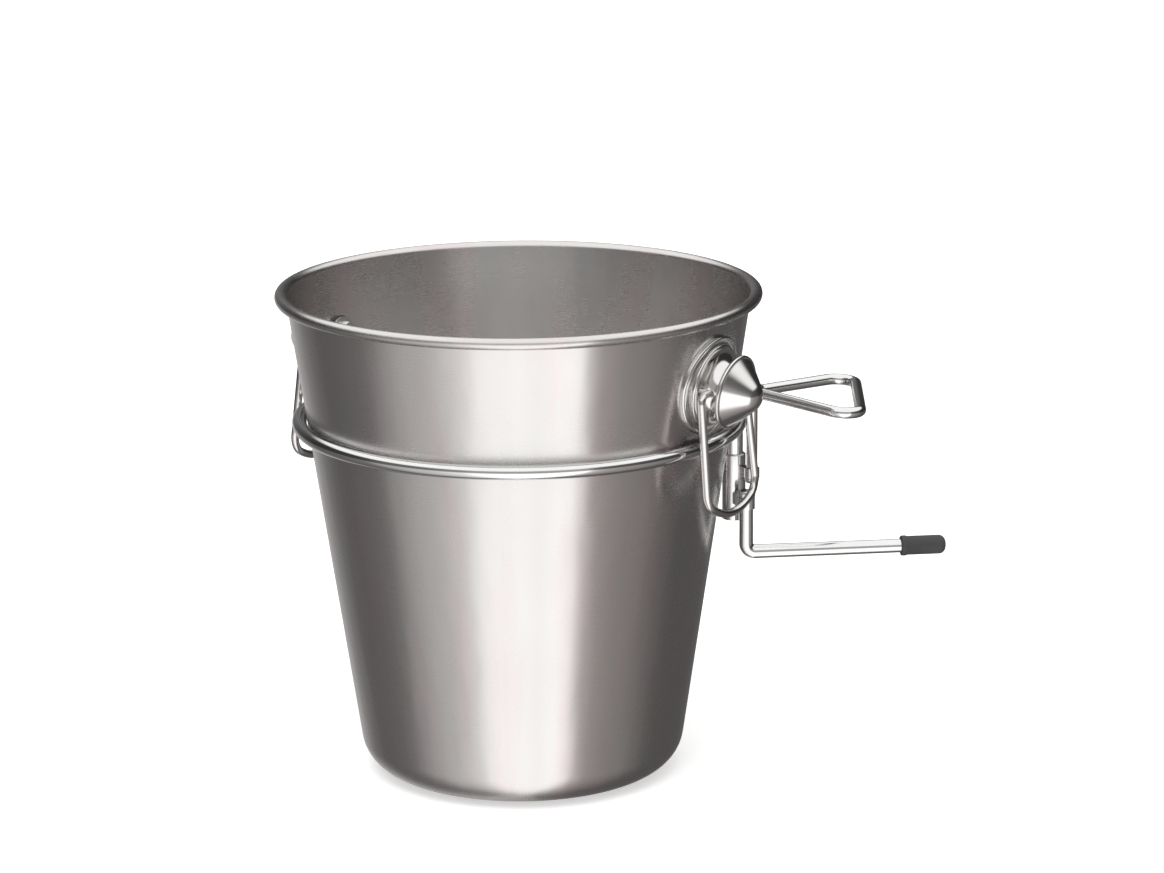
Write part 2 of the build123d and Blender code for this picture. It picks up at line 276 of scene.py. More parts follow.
def principled(name):
    material = bpy.data.materials.new(name)
    material.use_nodes = True
    tree = material.node_tree
    return material, tree, tree.nodes["Principled BSDF"]


FOOT_REACH = 0.06           # inside this radius the patterns no longer narrow towards the axis

# Noise on the steel: its scale round the axis, its scale down the wall, and its detail.
BRUSH_LINES = (2.0, 1500.0, 1.0)
STAINS = (5.5, 9.0, 4.0)
DENTS = (3.4, 13.0, 2.0)
STAIN_FAINT = 0.42          # noise below this is clean steel, and above the next value full stain
STAIN_FULL = 0.66
BRUSH_TONE = 0.05           # how much the brush lines change the steel's brightness
DENT_DEPTH = 0.0003
BRUSH_DEPTH = 0.00004
BRUSH_RELIEF = 0.025
CLOUD_SCALE = 26.0
# Shares of a steel's roughness: its even part, and what the clouds, stains and lines add.
ROUGH_EVEN = 0.6
ROUGH_CLOUD = 0.3
ROUGH_STAINS = 0.3
ROUGH_LINES = 0.14


def steel(name, colour, tint, roughness, anisotropy):
    """Steel brushed round the bucket's axis, with faint stains that run down it."""
    material, tree, shader = principled(name)
    shader.inputs["Metallic"].default_value = 1.0
    shader.inputs["Anisotropic"].default_value = anisotropy
    shader.inputs["Anisotropic Rotation"].default_value = 0.25
    tangent = node(tree, "ShaderNodeTangent", direction_type="RADIAL", axis="Z")
    tree.links.new(tangent.outputs[0], shader.inputs["Tangent"])

    coordinates = tree.nodes.new("ShaderNodeTexCoord").outputs["Object"]
    parts = tree.nodes.new("ShaderNodeSeparateXYZ")
    tree.links.new(coordinates, parts.inputs[0])
    across = math_node(tree, "MULTIPLY", parts.outputs["X"], parts.outputs["X"])
    squares = math_node(tree, "MULTIPLY_ADD", parts.outputs["Y"], parts.outputs["Y"], across)
    radius = math_node(tree, "SQRT", squares)
    reach = math_node(tree, "MAXIMUM", radius, FOOT_REACH)
    east = math_node(tree, "DIVIDE", parts.outputs["X"], reach)
    north = math_node(tree, "DIVIDE", parts.outputs["Y"], reach)
    along = math_node(tree, "ADD", parts.outputs["Z"], radius)

    def pattern(round_scale, down_scale, detail):
        """Noise that is stretched round the axis or down it, by the two scales."""
        place_on_wall = tree.nodes.new("ShaderNodeCombineXYZ")
        tree.links.new(math_node(tree, "MULTIPLY", east, round_scale), place_on_wall.inputs["X"])
        tree.links.new(math_node(tree, "MULTIPLY", north, round_scale), place_on_wall.inputs["Y"])
        tree.links.new(math_node(tree, "MULTIPLY", along, down_scale), place_on_wall.inputs["Z"])
        noise = node(tree, "ShaderNodeTexNoise", Scale=1.0, Detail=detail, Roughness=0.6)
        tree.links.new(place_on_wall.outputs[0], noise.inputs["Vector"])
        return noise.outputs["Fac"]

    lines = pattern(*BRUSH_LINES)
    stains = pattern(*STAINS)
    dents = pattern(*DENTS)
    cloud = node(tree, "ShaderNodeTexNoise", Scale=CLOUD_SCALE, Detail=3.0, Roughness=0.5)
    tree.links.new(coordinates, cloud.inputs["Vector"])

    stained = node(tree, "ShaderNodeMapRange", interpolation_type="SMOOTHSTEP")
    stained.inputs["From Min"].default_value = STAIN_FAINT
    stained.inputs["From Max"].default_value = STAIN_FULL
    tree.links.new(stains, stained.inputs["Value"])
    ground = tree.nodes.new("ShaderNodeMix")
    ground.data_type = "RGBA"
    ground.inputs["A"].default_value = (*colour, 1.0)
    ground.inputs["B"].default_value = (*tint, 1.0)
    tree.links.new(stained.outputs["Result"], ground.inputs["Factor"])
    grain = math_node(tree, "MULTIPLY_ADD", lines, BRUSH_TONE, 1.0 - BRUSH_TONE / 2)
    tone = tree.nodes.new("ShaderNodeVectorMath")
    tone.operation = "SCALE"
    tree.links.new(ground.outputs["Result"], tone.inputs[0])
    tree.links.new(grain, tone.inputs["Scale"])
    tree.links.new(tone.outputs[0], shader.inputs["Base Color"])

    rough = roughness * ROUGH_EVEN
    for fac, share in ((cloud.outputs["Fac"], ROUGH_CLOUD), (stains, ROUGH_STAINS), (lines, ROUGH_LINES)):
        rough = math_node(tree, "MULTIPLY_ADD", fac, roughness * share, rough)
    tree.links.new(rough, shader.inputs["Roughness"])

    hand_work = node(tree, "ShaderNodeBump", Strength=1.0, Distance=DENT_DEPTH)
    tree.links.new(dents, hand_work.inputs["Height"])
    relief = node(tree, "ShaderNodeBump", Strength=BRUSH_RELIEF, Distance=BRUSH_DEPTH)
    tree.links.new(lines, relief.inputs["Height"])
    tree.links.new(hand_work.outputs[0], relief.inputs["Normal"])
    tree.links.new(relief.outputs[0], shader.inputs["Normal"])
    return material


SMUDGE_SCALE = 90.0
MARK_SCALE = 900.0
MARK_DEPTH = 0.00003
MARK_RELIEF = 0.12
TONE_DARK = 0.92
TONE_BRIGHT = 1.05
DULL_EVEN = 0.55            # shares of a polished metal's roughness
DULL_SMUDGE = 0.9
RUBBER_GRAIN_SCALE = 2600.0
RUBBER_GRAIN_DEPTH = 0.00005
DUST_SCALE = 140.0
DUST_TONE = 1.7
DUST_ROUGH = 0.2
RUBBER_RELIEF = 0.3


def polished(name, colour, roughness):
    """Bright metal with faint polishing marks and a few dull smudges."""
    material, tree, shader = principled(name)
    shader.inputs["Metallic"].default_value = 1.0
    coordinates = tree.nodes.new("ShaderNodeTexCoord").outputs["Object"]
    smudge = node(tree, "ShaderNodeTexNoise", Scale=SMUDGE_SCALE, Detail=4.0, Roughness=0.55)
    marks = node(tree, "ShaderNodeTexNoise", Scale=MARK_SCALE, Detail=3.0, Roughness=0.6)
    tree.links.new(coordinates, smudge.inputs["Vector"])
    tree.links.new(coordinates, marks.inputs["Vector"])
    tone = tree.nodes.new("ShaderNodeMix")
    tone.data_type = "RGBA"
    tone.inputs["A"].default_value = (*[channel * TONE_DARK for channel in colour], 1.0)
    tone.inputs["B"].default_value = (*[min(1.0, channel * TONE_BRIGHT) for channel in colour], 1.0)
    tree.links.new(smudge.outputs["Fac"], tone.inputs["Factor"])
    tree.links.new(tone.outputs["Result"], shader.inputs["Base Color"])
    even = roughness * DULL_EVEN
    dull = math_node(tree, "MULTIPLY_ADD", smudge.outputs["Fac"], roughness * DULL_SMUDGE, even)
    tree.links.new(dull, shader.inputs["Roughness"])
    relief = node(tree, "ShaderNodeBump", Strength=MARK_RELIEF, Distance=MARK_DEPTH)
    tree.links.new(marks.outputs["Fac"], relief.inputs["Height"])
    tree.links.new(relief.outputs[0], shader.inputs["Normal"])
    return material


def rubber(name, colour, roughness):
    """Soft black rubber with a fine moulded grain."""
    material, tree, shader = principled(name)
    coordinates = tree.nodes.new("ShaderNodeTexCoord").outputs["Object"]
    grain = node(tree, "ShaderNodeTexNoise", Scale=RUBBER_GRAIN_SCALE, Detail=3.0, Roughness=0.6)
    dust = node(tree, "ShaderNodeTexNoise", Scale=DUST_SCALE, Detail=4.0, Roughness=0.6)
    tree.links.new(coordinates, grain.inputs["Vector"])
    tree.links.new(coordinates, dust.inputs["Vector"])
    tone = tree.nodes.new("ShaderNodeMix")
    tone.data_type = "RGBA"
    tone.inputs["A"].default_value = (*colour, 1.0)
    tone.inputs["B"].default_value = (*[channel * DUST_TONE for channel in colour], 1.0)
    tree.links.new(dust.outputs["Fac"], tone.inputs["Factor"])
    tree.links.new(tone.outputs["Result"], shader.inputs["Base Color"])
    smoothest = roughness - DUST_ROUGH / 2
    rough = math_node(tree, "MULTIPLY_ADD", dust.outputs["Fac"], DUST_ROUGH, smoothest)
    tree.links.new(rough, shader.inputs["Roughness"])
    relief = node(tree, "ShaderNodeBump", Strength=RUBBER_RELIEF, Distance=RUBBER_GRAIN_DEPTH)
    tree.links.new(grain.outputs["Fac"], relief.inputs["Height"])
    tree.links.new(relief.outputs[0], shader.inputs["Normal"])
    return material


MATERIALS = {
    "brushed_bucket_steel": steel(
        "brushed_bucket_steel", (0.725, 0.715, 0.70), (0.745, 0.685, 0.69), 0.28, 0.8
    ),
    "polished_steel": polished("polished_steel", (0.78, 0.77, 0.76), 0.14),
    "screw_steel": polished("screw_steel", (0.66, 0.66, 0.65), 0.30),
    "chromed_wire": polished("chromed_wire", (0.80, 0.80, 0.80), 0.12),
    "seal_rubber": rubber("seal_rubber", (0.03, 0.03, 0.03), 0.7),
    "tip_rubber": rubber("tip_rubber", (0.035, 0.035, 0.037), 0.6),
}


# ---------------------------------------------------------------- mesh tools

ROUND_STEPS = 200           # facets round the bucket and its ring
LUG_STEPS = 96
WIRE_STEPS = 28
RING_WIRE_STEPS = 32
POST_STEPS = 48
TUBE_STEPS = 64
LUMP_STEPS = 36
TIP_STEPS = 56
SHARP_ANGLE = radians(38)
POLE = 1e-7                 # a profile point nearer the axis than this is a single vertex
END_SHARES = (0.0, 0.3, 0.6, 0.85)      # stations along the rounded end of a wire


def place(name, points, faces, body, node_name, slot):
    """Makes a smooth-shaded mesh piece that stands for a CAD node and rides on its body."""
    mesh = bpy.data.meshes.new(name)
    mesh.from_pydata([tuple(point) for point in points], [], faces)
    mesh.validate()
    for polygon in mesh.polygons:
        polygon.use_smooth = True
    mesh.set_sharp_from_angle(angle=SHARP_ANGLE)
    mesh.materials.append(MATERIALS[slot])
    piece = bpy.data.objects.new(name, mesh)
    bpy.context.scene.collection.objects.link(piece)
    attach(piece, body)
    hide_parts(node_name)


def turned(profile, steps, spot):
    """Vertices and faces of a closed or pole-to-pole profile turned once round an axis.

    spot(distance, height, angle) gives the place of one vertex."""
    points = []
    rings = []
    for distance, height in profile:
        if distance < POLE:
            rings.append([len(points)])
            points.append(spot(0.0, height, 0.0))
            continue
        rings.append(list(range(len(points), len(points) + steps)))
        for step in range(steps):
            points.append(spot(distance, height, 2 * pi * step / steps))
    faces = []
    closed = len(rings[0]) > 1
    pairs = list(zip(rings, rings[1:]))
    if closed:
        pairs.append((rings[-1], rings[0]))
    for lower, upper in pairs:
        for step in range(steps):
            after = (step + 1) % steps
            if len(lower) == 1:
                faces.append((lower[0], upper[after], upper[step]))
            elif len(upper) == 1:
                faces.append((lower[step], lower[after], upper[0]))
            else:
                faces.append((lower[step], lower[after], upper[after], upper[step]))
    return points, faces


def about(centre, across, along):
    """A spot function for an axis through centre, where across and along are unit vectors."""
    other = along.cross(across)

    def spot(distance, height, angle):
        aside = centre + across * (distance * cos(angle))
        return aside + other * (distance * sin(angle)) + along * height

    return spot


def arc(centre, radius, start, end, steps):
    """Points on a circular arc in a flat profile, with angles in degrees."""
    made = []
    for step in range(steps + 1):
        angle = radians(start + (end - start) * step / steps)
        made.append((centre[0] + radius * cos(angle), centre[1] + radius * sin(angle)))
    return made


def bent(corners, bends, steps=12):
    """A path through the corners, with each inner corner rounded to its bend radius."""
    made = [corners[0]]
    for before, corner, after, bend in zip(corners, corners[1:], corners[2:], bends):
        back = (before - corner).normalized()
        ahead = (after - corner).normalized()
        half = back.angle(ahead) / 2
        middle = (back + ahead).normalized()
        centre = corner + middle * (bend / sin(half))
        run = bend * cos(half) / sin(half)
        start = corner + back * run - centre
        end = corner + ahead * run - centre
        sweep_angle = pi - 2 * half
        for step in range(steps + 1):
            share = step / steps
            arm_a = sin((1 - share) * sweep_angle) / sin(sweep_angle)
            arm_b = sin(share * sweep_angle) / sin(sweep_angle)
            made.append(centre + start * arm_a + end * arm_b)
    made.append(corners[-1])
    return made


def wire(path, radius, end_round):
    """Vertices and faces of a round wire along a path, with both ends rounded off."""
    stations = []
    start_way = (path[1] - path[0]).normalized()
    end_way = (path[-1] - path[-2]).normalized()
    for share in END_SHARES:
        back = end_round * (1 - sqrt(1 - (1 - share) ** 2))
        stations.append((path[0] + start_way * back, radius - end_round * (1 - share)))
    for point in path[1:-1]:
        stations.append((point, radius))
    for share in END_SHARES[::-1]:
        back = end_round * (1 - sqrt(1 - (1 - share) ** 2))
        stations.append((path[-1] - end_way * back, radius - end_round * (1 - share)))
    count = len(stations)
    ways = []
    for index in range(count):
        before = stations[max(index - 1, 0)][0]
        after = stations[min(index + 1, count - 1)][0]
        ways.append((after - before).normalized())
    side = ways[0].orthogonal().normalized()
    points = []
    for index, (centre, ring_radius) in enumerate(stations):
        if index:
            side = ways[index - 1].rotation_difference(ways[index]) @ side
            side = (side - ways[index] * side.dot(ways[index])).normalized()
        other = ways[index].cross(side)
        for step in range(WIRE_STEPS):
            angle = 2 * pi * step / WIRE_STEPS
            aside = centre + side * (ring_radius * cos(angle))
            points.append(aside + other * (ring_radius * sin(angle)))
    faces = [tuple(range(WIRE_STEPS))[::-1]]
    for index in range(count - 1):
        for step in range(WIRE_STEPS):
            after = (step + 1) % WIRE_STEPS
            low = index * WIRE_STEPS
            high = low + WIRE_STEPS
            faces.append((low + step, low + after, high + after, high + step))
    last = (count - 1) * WIRE_STEPS
    faces.append(tuple(range(last, last + WIRE_STEPS)))
    return points, faces


def touch_point(start, centre, radius, side):
    """Where a straight line from start touches a circle, on its right (-1) or left (1)."""
    run = centre[0] - start[0]
    rise = centre[1] - start[1]
    distance = hypot(run, rise)
    direction = atan2(rise, run) + side * asin(radius / distance)
    length = sqrt(distance**2 - radius**2)
    return (start[0] + length * cos(direction), start[1] + length * sin(direction))


UP = Vector((0, 0, 1))
EAST = Vector((1, 0, 0))


# ---------------------------------------------------------------- bucket

SHEET = 0.8 * MM
BEAD = 2.45 * MM
FOOT_BEND = 17.0 * MM
WALL_FOOT = 68.7 * MM
RIM_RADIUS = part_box("bucket_shell")[1].x
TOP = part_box("bucket_shell")[1].z
RIM_HEIGHT = TOP - BEAD
RIM_STAND = 4.8 * MM        # how far the rolled rim stands out past the wall
WALL_RIM = RIM_RADIUS - RIM_STAND
SLOPE = (WALL_RIM - WALL_FOOT) / RIM_HEIGHT
TILT = atan2(SLOPE, 1.0)
CREASE_DROP = 1.7 * MM      # the crease under the rolled rim, below the rim's middle
CREASE_WIDTH = 0.02 * MM
CREASE_HEIGHT = 0.12 * MM
CURL_START = 208            # degrees round the rolled rim, from its outer side
CURL_END = 450
WALL_ROWS = 26
TURN_STEPS = 12
FOOT_STEPS = 18
CURL_STEPS = 34


def wall_radius(height):
    return WALL_FOOT + SLOPE * height


def foot_arc(bend, height, inset, steps):
    """The bend between the underside and the wall, for a skin that far inside the outer one."""
    centre_height = height + bend
    wall = wall_radius(centre_height) - inset / cos(TILT)
    centre = (wall - bend / cos(TILT), centre_height)
    tilt = TILT * 180 / pi
    return arc(centre, bend, -90, -tilt, steps)


def make_bucket():
    bead_centre = (RIM_RADIUS - BEAD, RIM_HEIGHT)
    outside = [(0.0, 0.0)]
    outside += [(WALL_FOOT * share, 0.0) for share in (0.2, 0.4, 0.6)]
    outside += foot_arc(FOOT_BEND, 0.0, 0.0, FOOT_STEPS)
    straight_start = outside[-1][1]
    crease = RIM_HEIGHT - CREASE_DROP
    for row in range(1, WALL_ROWS + 1):
        height = straight_start + (crease - straight_start) * row / WALL_ROWS
        outside.append((wall_radius(height), height))
    # the edge of the sheet is curled back against the wall, with a fine crease where they meet
    outside.append((wall_radius(crease) + CREASE_WIDTH, crease + CREASE_HEIGHT))
    curl = arc(bead_centre, BEAD, CURL_START, CURL_END, CURL_STEPS)
    over = []
    turn_width = bead_centre[0] - (wall_radius(RIM_HEIGHT) - SHEET / cos(TILT))
    for step in range(1, TURN_STEPS + 1):
        angle = radians(90 + 90 * step / TURN_STEPS)
        over.append((bead_centre[0] + turn_width * cos(angle), RIM_HEIGHT + BEAD * sin(angle)))
    inside_foot = foot_arc(FOOT_BEND - SHEET, SHEET, SHEET, FOOT_STEPS)
    straight_end = inside_foot[-1][1]
    inside = []
    for row in range(1, WALL_ROWS):
        height = RIM_HEIGHT + (straight_end - RIM_HEIGHT) * row / WALL_ROWS
        inside.append((wall_radius(height) - SHEET / cos(TILT), height))
    inside += inside_foot[::-1]
    inside += [(WALL_FOOT * share, SHEET) for share in (0.6, 0.4, 0.2)]
    inside.append((0.0, SHEET))
    profile = outside + curl + over + inside
    points, faces = turned(profile, ROUND_STEPS, about(Vector((0, 0, 0)), EAST, UP))
    place("bucket", points, faces, "bucket", "bucket_shell", "brushed_bucket_steel")


# ---------------------------------------------------------------- lugs and bails

LUGS = ((1, radians(-39)), (2, radians(141)))
LUG_HEIGHT = 181.9 * MM
FLANGE_RADIUS = 21.5 * MM
FLANGE = 1.3 * MM
FLANGE_BEAD = 0.75 * MM
STEP_RADIUS = 18.0 * MM
STEP = 2.6 * MM
STEP_EDGE = 0.8 * MM
FLANGE_EDGE = 0.3 * MM
FLANGE_DIP = 0.15 * MM      # the flange is this much lower between its bead and the step
DIP_MARGIN = 0.5 * MM       # the dip ends this far from the step
STEP_MARGIN = 0.1 * MM
STEP_FOOT = 1.4             # the step's wall ends this many edge roundings below its top
BORE = 3.1 * MM
GAP = 0.05 * MM
CAP_FOOT = 10.9 * MM
CAP_RADIUS = 16.0 * MM
CAP_EDGE = 1.2 * MM
CAP_SHOULDER = 2.3 * MM
CAP_TAPER = 1.3 * MM
CAP_GROOVE = 0.25 * MM
CAP_LIP_ROUND = 0.8 * MM
CAP_BALL = 8.2 * MM
CAP_BALL_HEIGHT = CAP_FOOT + 5.2 * MM
CAP_BORE = 3.05 * MM
CAP_BORE_END = 18.4 * MM
PIVOT = 6.0 * MM
BAIL_WIRE = 1.75 * MM
BAIL_HALF = 18.2 * MM
BAIL_FOOT_HALF = 20.4 * MM
BAIL_CORNER_DROP = 47.5 * MM
BAIL_FOOT_DROP = 57.0 * MM
BAIL_CORNER_BEND = 9.0 * MM
BAIL_FOOT_BEND = 30.0 * MM
BAIL_SWAY = 3.0 * MM
BAIL_LEAN = radians(3.4)
BAIL_BEND = 3.2 * MM
BAIL_INSET = 6.5 * MM
BAIL_END_ROUND = 0.4 * MM


def lug_frame(azimuth):
    """The lug's centre on the wall, and unit vectors along the wall, up it and square to it."""
    outward = Vector((cos(azimuth), sin(azimuth), 0))
    along = UP.cross(outward)
    square = outward * cos(TILT) - UP * sin(TILT)
    centre = outward * wall_radius(LUG_HEIGHT) + UP * LUG_HEIGHT
    return centre, along, square.cross(along), square


def wall_drop(aside, above):
    """How far the wall lies behind the flat plane that touches it at a lug's centre."""
    reach = (wall_radius(LUG_HEIGHT) + above * sin(TILT)) / cos(TILT)
    bow = cos(TILT) ** 2 - (sin(TILT) * SLOPE) ** 2
    return (sqrt(reach**2 - bow * aside**2) - reach) / bow


def make_plate(number, azimuth):
    centre, along, above, square = lug_frame(azimuth)
    bead_middle = FLANGE_RADIUS - FLANGE_BEAD
    # distance from the axis, height, and whether the height follows the wall (1) or a plane (0)
    profile = [(BORE, GAP, 1.0)]
    profile += [(share * FLANGE_RADIUS, GAP, 1.0) for share in (0.4, 0.7, 0.9)]
    profile += [(FLANGE_RADIUS - FLANGE_EDGE, GAP, 1.0)]
    profile += [(FLANGE_RADIUS, FLANGE_EDGE, 1.0)]
    profile += [(x, y, 1.0) for x, y in arc((bead_middle, FLANGE), FLANGE_BEAD, 0, 180, 12)]
    profile += [(bead_middle - FLANGE_BEAD - FLANGE_EDGE, FLANGE - FLANGE_DIP, 1.0)]
    profile += [(STEP_RADIUS + DIP_MARGIN, FLANGE - FLANGE_DIP, 1.0)]
    profile += [(STEP_RADIUS + STEP_MARGIN, FLANGE, 1.0)]
    profile += [(STEP_RADIUS, STEP - STEP_EDGE * STEP_FOOT, 0.0)]
    step_round = arc((STEP_RADIUS - STEP_EDGE, STEP - STEP_EDGE), STEP_EDGE, 0, 90, 8)
    profile += [(x, y, 0.0) for x, y in step_round]
    profile += [(share * STEP_RADIUS, STEP, 0.0) for share in (0.85, 0.6)]
    profile += [(BORE, STEP, 0.0)]
    follow = {}
    flat = []
    for index, (distance, height, share) in enumerate(profile):
        flat.append((distance, index))
        follow[index] = (height, share)

    def spot(distance, index, angle):
        height, share = follow[index]
        aside = distance * cos(angle)
        upwards = distance * sin(angle)
        level = height + share * wall_drop(aside, upwards)
        return centre + along * aside + above * upwards + square * level

    points, faces = turned(flat, LUG_STEPS, spot)
    place(f"plate_{number}", points, faces, "bucket", f"lug_plate_{number}", "polished_steel")


def make_cap(number, azimuth):
    centre, along, _, square = lug_frame(azimuth)
    cone_start = (CAP_RADIUS - CAP_TAPER, CAP_FOOT + CAP_SHOULDER)
    ball_start = touch_point(cone_start, (0.0, CAP_BALL_HEIGHT), CAP_BALL, -1)
    ball_angle = atan2(ball_start[1] - CAP_BALL_HEIGHT, ball_start[0]) * 180 / pi
    profile = [(0.0, CAP_BORE_END), (CAP_BORE, CAP_BORE_END), (CAP_BORE, CAP_FOOT)]
    profile += arc((CAP_RADIUS - CAP_EDGE, CAP_FOOT + CAP_EDGE), CAP_EDGE, -90, 0, 10)
    # the lip's upper edge is rounded, and a fine groove parts it from the cone
    lip_top = cone_start[1] - CAP_GROOVE
    lip_centre = (CAP_RADIUS - CAP_LIP_ROUND, lip_top - CAP_LIP_ROUND)
    profile += arc(lip_centre, CAP_LIP_ROUND, 0, 90, 8)
    profile += [(cone_start[0] + CAP_GROOVE, lip_top)]
    profile += [(cone_start[0] - CAP_GROOVE, lip_top - CAP_GROOVE)]
    profile += [(cone_start[0] - CAP_GROOVE, lip_top), cone_start]
    for row in range(1, 10):
        share = row / 10
        profile.append(tuple(a + (b - a) * share for a, b in zip(cone_start, ball_start)))
    profile += arc((0.0, CAP_BALL_HEIGHT), CAP_BALL, ball_angle, 90, 14)[:-1]
    profile.append((0.0, CAP_BALL_HEIGHT + CAP_BALL))
    points, faces = turned(profile, LUG_STEPS, about(centre, along, square))
    place(f"cap_{number}", points, faces, "bucket", f"lug_cap_{number}", "polished_steel")


def make_bail(number, azimuth):
    centre, along, _, square = lug_frame(azimuth)
    outward = Vector((cos(azimuth), sin(azimuth), 0))
    pivot = centre + square * PIVOT
    down = outward * sin(BAIL_LEAN) - UP * cos(BAIL_LEAN)

    def spot(aside, drop):
        return pivot + along * aside + down * drop

    corners = [
        spot(-BAIL_INSET, 0),
        spot(-BAIL_HALF, 0),
        spot(BAIL_SWAY - BAIL_FOOT_HALF, BAIL_CORNER_DROP),
        spot(BAIL_SWAY, BAIL_FOOT_DROP),
        spot(BAIL_SWAY + BAIL_FOOT_HALF, BAIL_CORNER_DROP),
        spot(BAIL_HALF, 0),
        spot(BAIL_INSET, 0),
    ]
    bends = [BAIL_BEND, BAIL_CORNER_BEND, BAIL_FOOT_BEND, BAIL_CORNER_BEND, BAIL_BEND]
    points, faces = wire(bent(corners, bends), BAIL_WIRE, BAIL_END_ROUND)
    place(f"bail_ring_{number}", points, faces, f"bail_body_{number}", f"bail_{number}", "polished_steel")


# ---------------------------------------------------------------- bracket

RING_WIRE = 3.2 * MM
POST = 4.0 * MM
TUBE = 5.2 * MM
TUBE_BORE = 4.1 * MM
TUBE_LIP = 0.4 * MM
ARM_WIRE = 2.5 * MM
ARM_PLACE = Vector((102.45 * MM, 2.5 * MM, 0))
ARM_REACH = 46.3 * MM
ARM_HALF = 41.0 * MM
ARM_FALL = 2.3 * MM
ARM_TURN = radians(-8.5)
ARM_CORNER = 7.5 * MM
ARM_BEND = 3.2 * MM
ARM_END_GAP = 5.5 * MM
ARM_STEM = 41.1 * MM        # length of the loop's stem
ARM_JOINT = 3.6 * MM
ARM_JOINT_OFFSET = 2.4 * MM
RIVET = 3.2 * MM
RIVET_HEIGHT = 2.0 * MM
LOWER_WIRE = 3.1 * MM
LOWER_BEND = 3.8 * MM
POST_EDGE = 0.5 * MM
POST_FLARE = 1.4 * MM       # the braze under the ring widens the post by this much
POST_FLARE_HEIGHT = 4.2 * MM
POST_FLARE_STEPS = 8
TUBE_TOP_EDGE = 0.15 * MM
TUBE_FOOT_EDGE = 0.3 * MM
ARM_END_ROUND = 0.5 * MM
RIVET_ROUND = 1.5 * MM
LOWER_END_ROUND = 0.7 * MM
STOP_EDGE = 0.7 * MM
TIP_ROUND = 3.0 * MM
TIP_LIP = 0.5 * MM
TIP_FLOOR = 2.0 * MM        # rubber beyond the end of the wire
TIP_COLLAR = 2.2 * MM       # the thicker collar round the tip's open end
TIP_COLLAR_END = 2.6 * MM
TIP_STEP = 0.3 * MM
TIP_MARGIN = 1.0 * MM


def middle_of(node_name):
    low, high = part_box(node_name)
    return (low + high) / 2


def make_ring():
    low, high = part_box("support_ring")
    profile = arc((high.x - RING_WIRE, (low.z + high.z) / 2), RING_WIRE, 0, 360, RING_WIRE_STEPS)[:-1]
    points, faces = turned(profile, ROUND_STEPS, about(Vector((0, 0, 0)), EAST, UP))
    place("ring", points, faces, "bracket", "support_ring", "chromed_wire")


def make_post():
    low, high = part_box("ring_post")
    axis = middle_of("ring_post")
    axis.z = 0
    profile = [(0.0, low.z), (POST - POST_EDGE, low.z), (POST, low.z + POST_EDGE)]
    neck = high.z - POST_FLARE_HEIGHT
    profile += [(POST, neck)]
    for step in range(1, POST_FLARE_STEPS + 1):
        share = step / POST_FLARE_STEPS
        profile.append((POST + POST_FLARE * share**2, neck + (high.z - neck) * share))
    profile += [(0.0, high.z)]
    points, faces = turned(profile, POST_STEPS, about(axis, EAST, UP))
    place("post", points, faces, "bracket", "ring_post", "chromed_wire")


def make_tube():
    low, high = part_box("spine_tube")
    axis = middle_of("spine_tube")
    axis.z = 0
    profile = arc((TUBE - TUBE_LIP, low.z + TUBE_LIP), TUBE_LIP, -90, 0, 6)
    profile += arc((TUBE - TUBE_LIP, high.z - TUBE_LIP), TUBE_LIP, 0, 90, 6)
    profile += [(TUBE_BORE + TUBE_TOP_EDGE, high.z), (TUBE_BORE, high.z - TUBE_TOP_EDGE)]
    profile += [(TUBE_BORE, low.z + TUBE_FOOT_EDGE), (TUBE_BORE + TUBE_FOOT_EDGE, low.z)]
    points, faces = turned(profile, TUBE_STEPS, about(axis, EAST, UP))
    place("tube", points, faces, "bracket", "spine_tube", "chromed_wire")


def make_upper_arm():
    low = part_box("upper_arm")[0]
    along = Vector((cos(ARM_TURN), sin(ARM_TURN), 0))
    across = UP.cross(along)
    stem_foot = ARM_PLACE + UP * low.z
    stem_top = ARM_PLACE + UP * (low.z + ARM_STEM)
    bar = stem_top + along * ARM_REACH - UP * ARM_FALL
    rear = bar + across * ARM_HALF
    front = bar - across * ARM_HALF
    return_way = (rear - stem_top).normalized()
    end = stem_top + return_way * ARM_END_GAP
    path = bent([stem_foot, stem_top, front, rear, end], [ARM_BEND, ARM_CORNER, ARM_CORNER])
    points, faces = wire(path, ARM_WIRE, ARM_END_ROUND)
    # the brazed lump that closes the loop, and the head spread under the sleeve
    lump = arc((0.0, 0.0), ARM_JOINT, -90, 90, 20)
    lump[0] = (0.0, -ARM_JOINT)
    lump[-1] = (0.0, ARM_JOINT)
    lump_centre = stem_top + return_way * ARM_JOINT_OFFSET
    lump_points, lump_faces = turned(lump, LUMP_STEPS, about(lump_centre, EAST, UP))
    head = [(0.0, low.z)]
    head += arc((RIVET - RIVET_ROUND, low.z + RIVET_ROUND), RIVET_ROUND, -90, 0, 8)
    head += [(RIVET, low.z + RIVET_HEIGHT), (0.0, low.z + RIVET_HEIGHT)]
    head_points, head_faces = turned(head, LUMP_STEPS, about(ARM_PLACE, EAST, UP))
    for more_points, more_faces in ((lump_points, lump_faces), (head_points, head_faces)):
        start = len(points)
        points += more_points
        faces += [tuple(index + start for index in face) for face in more_faces]
    place("loop", points, faces, "loop", "upper_arm", "chromed_wire")


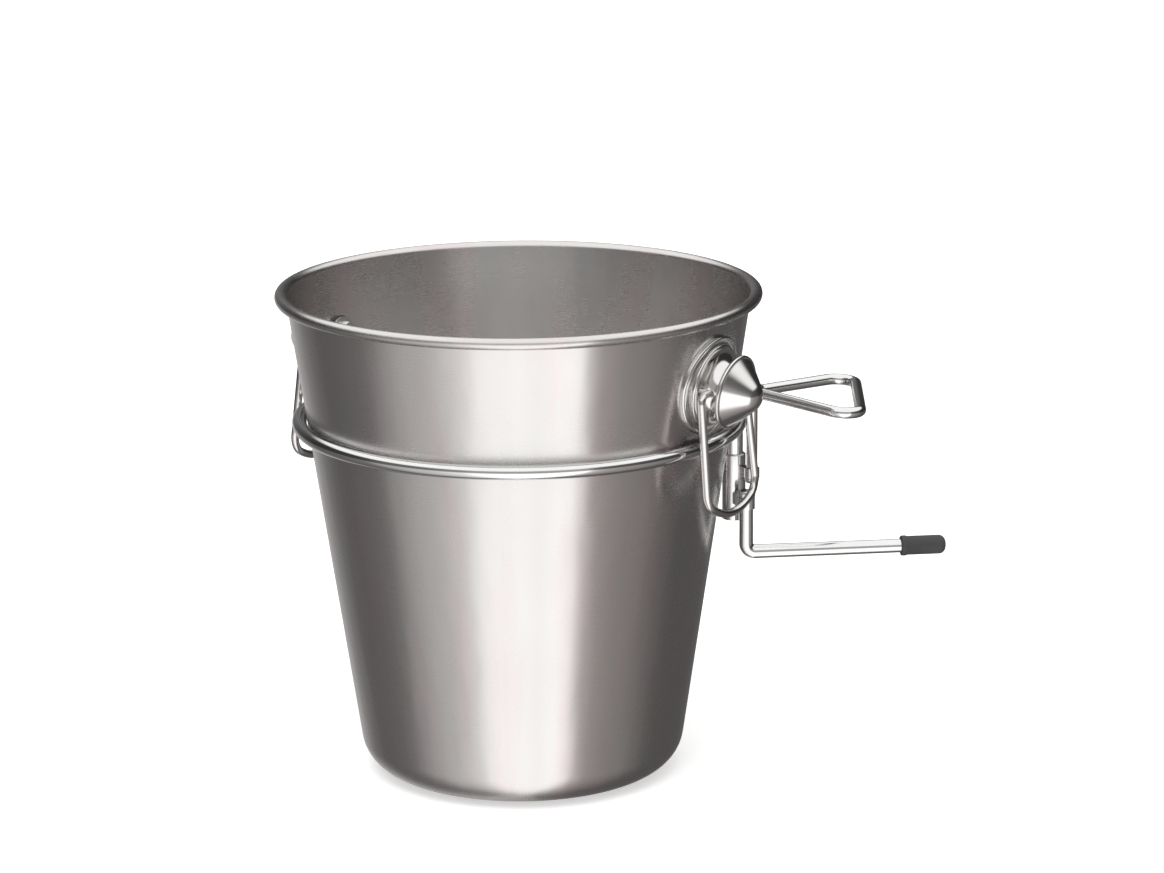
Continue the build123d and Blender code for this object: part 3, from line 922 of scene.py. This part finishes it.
def make_lower_arm():
    low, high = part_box("lower_arm")
    side = (low.y + high.y) / 2
    top = Vector((low.x + LOWER_WIRE, side, high.z))
    corner = Vector((top.x, side, low.z + LOWER_WIRE))
    end = Vector((high.x, side, corner.z))
    path = bent([top, corner, end], [LOWER_BEND])
    points, faces = wire(path, LOWER_WIRE, LOWER_END_ROUND)
    place("under_arm", points, faces, "sliding_arm", "lower_arm", "chromed_wire")


def make_stop():
    low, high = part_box("arm_stop")
    outer = (high.x - low.x) / 2
    profile = [(LOWER_WIRE, low.z)]
    profile += arc((outer - STOP_EDGE, low.z + STOP_EDGE), STOP_EDGE, -90, 0, 6)
    profile += arc((outer - STOP_EDGE, high.z - STOP_EDGE), STOP_EDGE, 0, 90, 6)
    profile += [(LOWER_WIRE, high.z)]
    axis = middle_of("arm_stop")
    axis.z = 0
    points, faces = turned(profile, POST_STEPS, about(axis, EAST, UP))
    place("stop", points, faces, "sliding_arm", "arm_stop", "chromed_wire")


def make_tip():
    low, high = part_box("arm_tip")
    outer = (high.z - low.z) / 2
    start = Vector((low.x, (low.y + high.y) / 2, (low.z + high.z) / 2))
    length = high.x - low.x
    sleeve = outer - TIP_STEP
    floor = length - TIP_FLOOR
    profile = [(0.0, floor), (LOWER_WIRE, floor), (LOWER_WIRE, 0.0)]
    profile += arc((outer - TIP_LIP, TIP_LIP), TIP_LIP, -90, 0, 6)
    profile += [(outer, TIP_COLLAR), (sleeve, TIP_COLLAR_END), (sleeve, length - TIP_ROUND - TIP_MARGIN)]
    profile += arc((sleeve - TIP_ROUND, length - TIP_ROUND), TIP_ROUND, 0, 90, 10)
    profile += [(0.0, length)]
    points, faces = turned(profile, TIP_STEPS, about(start, UP, EAST))
    place("tip", points, faces, "sliding_arm", "arm_tip", "tip_rubber")


def finish_cad_nodes():
    for part in frame["record"]["subparts"]:
        piece = frame["nodes"][part["node"]]
        piece.data.materials.clear()
        piece.data.materials.append(MATERIALS[part["material_slot"]])


# ---------------------------------------------------------------- scene

finish_cad_nodes()
make_bucket()
for number, azimuth in LUGS:
    make_plate(number, azimuth)
    make_cap(number, azimuth)
    make_bail(number, azimuth)
make_ring()
make_post()
make_tube()
make_upper_arm()
make_lower_arm()
make_stop()
make_tip()
make_world()
make_floor()
make_key()
make_camera()
bpy.context.scene.view_settings.view_transform = "Standard"
